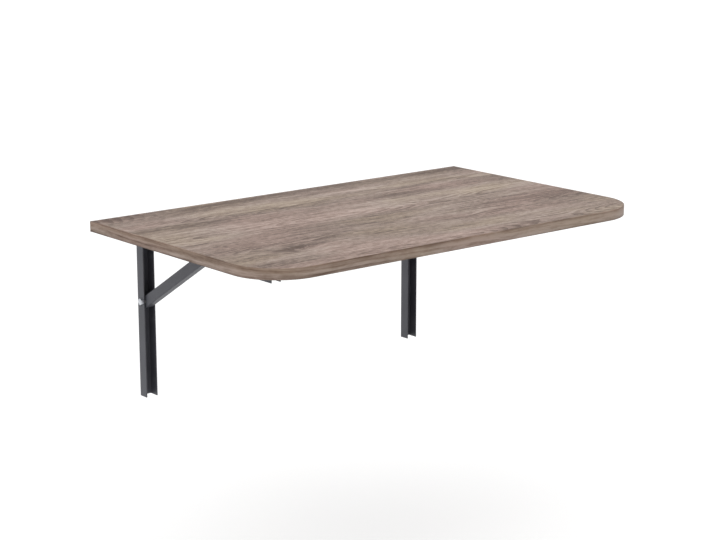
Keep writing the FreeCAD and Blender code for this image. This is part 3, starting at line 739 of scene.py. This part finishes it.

# %% [markdown]
# ## Powder coat
# The steel channels are bent sheet with a dark grey powder coat. It is satin, with the fine ripple that
# the powder leaves as it melts, and smoother along edges, where it is thin. The edges are painted paler:
# partly the thin, rubbed coat, partly a painted highlight of the rounded bends. A plain grey would look
# like plastic. The edges are found with a Bevel node, which rounds the shading of sharp edges too: where
# the rounded normal leaves the true one, there is an edge.

# %% Powder coat finish
COAT_GREY = colour(83, 84, 91)
COAT_DEEP = colour(74, 75, 82)
# Pale edge colour: thin, rubbed coat, and a painted highlight of the bends
COAT_EDGE_AND_HIGHLIGHT = colour(126, 127, 133)
COAT_CLOUD_CELLS = (14.0, 14.0, 14.0)
COAT_CLOUD_EDGE = (0.3, 0.7)
COAT_DETAIL = 3.0
RUB_CELLS = (60.0, 60.0, 60.0)
RUB_EDGE = (0.35, 0.65)
COAT_RIPPLE_CELLS = (620.0, 620.0, 620.0)
SPECK_CELLS = (2600.0, 2600.0, 2600.0)
SPECK_DETAIL = 1.0
SPECK_EDGE = (0.55, 0.75)
SPECK_SHARE = 0.5
SPECK_HEIGHT = 0.3
BEVEL_SAMPLES = 4
BEVEL_RADIUS = 0.0012
EDGE_TURN = (0.01, 0.25)
EDGE_LEAST = 0.3
EDGE_RUBBED = 0.6
COAT_ROUGHNESS = 0.46
SPECK_ROUGHNESS = 0.14
CLOUD_ROUGHNESS = 0.10
EDGE_POLISH = 0.08
COAT_RELIEF = {"Strength": 0.5, "Distance": 0.0002}

coat_finish, pen = new_finish("powder_coat")
place = pen.node("ShaderNodeTexCoord", None, None, "Object")
cloud = place.noise(COAT_CLOUD_CELLS, COAT_DETAIL)
rub = place.noise(RUB_CELLS, COAT_DETAIL).rise(*RUB_EDGE)
ripple = place.noise(COAT_RIPPLE_CELLS)
speck = place.noise(SPECK_CELLS, SPECK_DETAIL)
rounded = pen.node("ShaderNodeBevel", {"samples": BEVEL_SAMPLES}, {"Radius": BEVEL_RADIUS})
facing = pen.node("ShaderNodeNewGeometry", None, None, "True Normal")
agreement = pen.node("ShaderNodeVectorMath", {"operation": "DOT_PRODUCT"}, {0: rounded, 1: facing})
edge = (1.0 - agreement).rise(*EDGE_TURN)
grey = mixed(cloud.rise(*COAT_CLOUD_EDGE), COAT_DEEP, COAT_GREY)
# Paler edges: the thin, rubbed coat, and a painted highlight of the rounded bends
grey = mixed((EDGE_LEAST + EDGE_RUBBED * rub) * edge, grey, COAT_EDGE_AND_HIGHLIGHT)
grey = mixed(SPECK_SHARE * speck.rise(*SPECK_EDGE), grey, COAT_DEEP)
roughness = COAT_ROUGHNESS + SPECK_ROUGHNESS * (speck - 0.5) + CLOUD_ROUGHNESS * (cloud - 0.5)
roughness = roughness - EDGE_POLISH * edge
close_finish(grey, roughness, {**COAT_RELIEF, "Height": ripple + SPECK_HEIGHT * speck, "Normal": rounded})
print("powder coat nodes:", len(coat_finish.node_tree.nodes))

# %% [markdown]
# ## Zinc and nylon
# Bolts, nuts, washers, pins and screws are zinc plated: a bright, slightly blue metal with a faint
# cloud in its gloss and fine scratches. The spacers at the pivots are natural nylon, milky and a little
# shiny. A cloud that changes both the colour and the roughness is enough for such small pieces.

# %% Zinc finish
ZINC_BRIGHT = colour(214, 216, 220)
ZINC_DULL = colour(186, 188, 193)
ZINC_CLOUD_CELLS = (320.0, 320.0, 320.0)
ZINC_CLOUD_DETAIL = 3.0
ZINC_CLOUD_EDGE = (0.35, 0.7)
SCRATCH_CELLS = (5200.0, 900.0, 900.0)
ZINC_ROUGHNESS = 0.26
ZINC_CLOUD_ROUGHNESS = 0.16
ZINC_RELIEF = {"Strength": 0.12, "Distance": 0.00005}

zinc_finish, pen = new_finish("zinc")
place = pen.node("ShaderNodeTexCoord", None, None, "Object")
cloud = place.noise(ZINC_CLOUD_CELLS, ZINC_CLOUD_DETAIL)
plate = mixed(cloud.rise(*ZINC_CLOUD_EDGE), ZINC_DULL, ZINC_BRIGHT)
roughness = ZINC_ROUGHNESS + ZINC_CLOUD_ROUGHNESS * cloud
close_finish(plate, roughness, {**ZINC_RELIEF, "Height": place.noise(SCRATCH_CELLS)}, {"Metallic": 1.0})
print("zinc nodes:", len(zinc_finish.node_tree.nodes))

# %% Nylon finish
NYLON_PALE = colour(226, 224, 216)
NYLON_DEEP = colour(208, 205, 195)
NYLON_CLOUD_CELLS = (240.0, 240.0, 240.0)
NYLON_ROUGHNESS = 0.38
NYLON_CLOUD_ROUGHNESS = 0.12
NYLON_RELIEF = {"Strength": 0.15, "Distance": 0.00005}

nylon_finish, pen = new_finish("nylon")
cloud = pen.node("ShaderNodeTexCoord", None, None, "Object").noise(NYLON_CLOUD_CELLS)
milk = mixed(cloud, NYLON_DEEP, NYLON_PALE)
roughness = NYLON_ROUGHNESS + NYLON_CLOUD_ROUGHNESS * cloud
close_finish(milk, roughness, {**NYLON_RELIEF, "Height": cloud})
print("nylon nodes:", len(nylon_finish.node_tree.nodes))

# %% [markdown]
# ## Bolts and pins
# The solid model has plain shanks for the bolts, and flat heads for the pins. A real bolt has a thread,
# which shows where it comes out of its nut, and a hexagon head whose corners are turned away at the free
# face. A real pin has domed heads, because they are formed by a press. Each is a stack of rings about an
# axis, so one function builds them all, and the thread is only a radius that changes with the angle.

# %% Rings of a bolt
RING_COLUMNS = 72
ANGLE = np.linspace(0.0, 2 * math.pi, RING_COLUMNS, endpoint=False)[None, :]
BOLT_FLATS = 0.013
BOLT_RADIUS = 0.004
HEAD_HEIGHT = 0.0053
HEAD_FACE_RADIUS = 0.0063
CHAMFER_HEIGHT = 0.0006
CHAMFER_SLOPE = 2
CHAMFER_STEPS = 7
THREAD_LENGTH = 0.012
THREAD_PITCH = 0.00125
THREAD_DEPTH = 0.00077
THREAD_STEPS = 12
THREAD_CREST = 0.12
THREAD_FLANK = 0.75


def hexagon():
    """Distance of a hexagon's edge from its middle, by the angle from a corner: half the width across
    the flats, over the cosine of the angle from the nearest flat."""
    return BOLT_FLATS / 2 / np.cos(np.mod(ANGLE, math.pi / 3) - math.pi / 6)


def thread(along, length):
    """Radius of the thread: the shank's, less a groove whose depth is a clipped triangle wave of the turns
    along the bolt less the turns round it. It fades in over one turn, and a cone cuts its end."""
    turns = along / THREAD_PITCH - ANGLE / (2 * math.pi)
    wave = np.abs(2 * np.mod(turns, 1.0) - 1)
    groove = np.clip((wave - THREAD_CREST) / THREAD_FLANK, 0.0, 1.0)
    fade = np.clip((along - along[0]) / THREAD_PITCH, 0.0, 1.0)
    cone = BOLT_RADIUS - THREAD_DEPTH + (length - along)
    return np.minimum(BOLT_RADIUS - THREAD_DEPTH * groove * fade, cone)


def bolt_rings(length):
    """Place along the bolt and radius of each ring, from the head's free face to the end: the chamfered
    hexagon, the step under the head, the plain shank and the thread."""
    chamfer = np.linspace(0.0, CHAMFER_HEIGHT, CHAMFER_STEPS)[:, None]
    head = np.minimum(hexagon(), HEAD_FACE_RADIUS + CHAMFER_SLOPE * chamfer)
    shank = np.full_like(ANGLE, BOLT_RADIUS)
    steps = round(THREAD_LENGTH / THREAD_PITCH * THREAD_STEPS)
    screw = np.linspace(length - THREAD_LENGTH, length, steps)[:, None]
    along = np.concatenate([chamfer, [[HEAD_HEIGHT], [HEAD_HEIGHT]], screw])
    radius = np.concatenate([head, hexagon(), shank, thread(screw, length)])
    return along, radius


print("turns of the thread:", round(THREAD_LENGTH / THREAD_PITCH, 1))

# %% Rings of a pin
PIN_RADIUS = 0.003
PIN_HEAD_RADIUS = 0.005
PIN_HEAD_HEIGHT = 0.002
DOME_START = 0.1
DOME_STEPS = 10


def pin_rings(length):
    """Place along the pin and radius of each ring: a quarter ellipse for each domed head, and the plain
    shank between them."""
    turn = np.linspace(DOME_START, 1.0, DOME_STEPS)[:, None] * math.pi / 2
    dome_along = PIN_HEAD_HEIGHT * (1 - np.cos(turn))
    dome = PIN_HEAD_RADIUS * np.sin(turn)
    shank_along = np.array([[PIN_HEAD_HEIGHT], [length - PIN_HEAD_HEIGHT]])
    shank = np.full_like(shank_along, PIN_RADIUS)
    along = np.concatenate([dome_along, shank_along, length - dome_along[::-1]])
    radius = np.concatenate([dome, shank, dome[::-1]])
    return along, radius * np.ones_like(ANGLE)


print("rings of a pin's two domes:", 2 * DOME_STEPS)


# %% Build the bolts and pins
def make_fastener(name, node, body, rings):
    """Stack rings on the axis of a solid fastener, from its outer end towards the middle of the table: a
    point is the axis at its ring, plus its radius times the direction of its angle from upwards."""
    low, high = (np.array(point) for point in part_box(node))
    inwards = 1.0 if low[0] < 0 else -1.0
    start = (low + high) / 2
    start[0] = low[0] if inwards > 0 else high[0]
    along, radius = rings(high[0] - low[0])
    grid = np.empty((*radius.shape, 3))
    grid[..., 0] = start[0] + inwards * along
    grid[..., 1] = start[1] - inwards * radius * np.sin(ANGLE)
    grid[..., 2] = start[2] + radius * np.cos(ANGLE)
    end = start + [inwards * along[-1, 0], 0.0, 0.0]
    points = np.concatenate([grid.reshape(-1, 3), [start, end]])
    column = np.arange(RING_COLUMNS)
    following = (column + 1) % RING_COLUMNS
    last_ring = (len(along) - 1) * RING_COLUMNS
    first_pole = np.full_like(column, len(points) - 2)
    last_pole = np.full_like(column, len(points) - 1)
    faces = ring_faces(len(along), RING_COLUMNS)
    faces += np.stack([first_pole, following, column], axis=1).tolist()
    faces += np.stack([last_pole, last_ring + column, last_ring + following], axis=1).tolist()
    piece = new_piece(name, points, faces, zinc_finish)
    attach(piece, body)
    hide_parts(node)
    print(piece.name, len(piece.data.polygons), "faces")


for side in ("left", "right"):
    for part in ("hinge", "pivot"):
        bolt = f"{part}_bolt_{side}"
        make_fastener(bolt + "_threaded", bolt, "wall_frame", bolt_rings)
    pin = f"slide_pin_{side}"
    make_fastener(pin + "_domed", pin, side + "_brace", pin_rings)

# %% [markdown]
# ## Finishes on the pieces
# Every piece of the solid model gets its finish by its name: the board its oak print, the channels
# their powder coat, the spacers nylon, and all the fasteners zinc. The pieces that were made anew have
# theirs already, and their solids are hidden.

# %% Give every piece its finish
def finish_for(name):
    """The finish of a piece of the solid model."""
    if name == "tabletop_board":
        return board_finish
    if name.startswith("edge_band"):
        return band_finish
    if name.startswith(("wall_channel", "arm_left", "arm_right", "brace")):
        return coat_finish
    if name.startswith("pivot_spacers"):
        return nylon_finish
    return zinc_finish


for name, piece in nodes.items():
    piece.data.materials.clear()
    piece.data.materials.append(finish_for(name))
print("finished:", {f.name: sum(finish_for(n) is f for n in nodes)
                    for f in (board_finish, band_finish, coat_finish, zinc_finish, nylon_finish)})
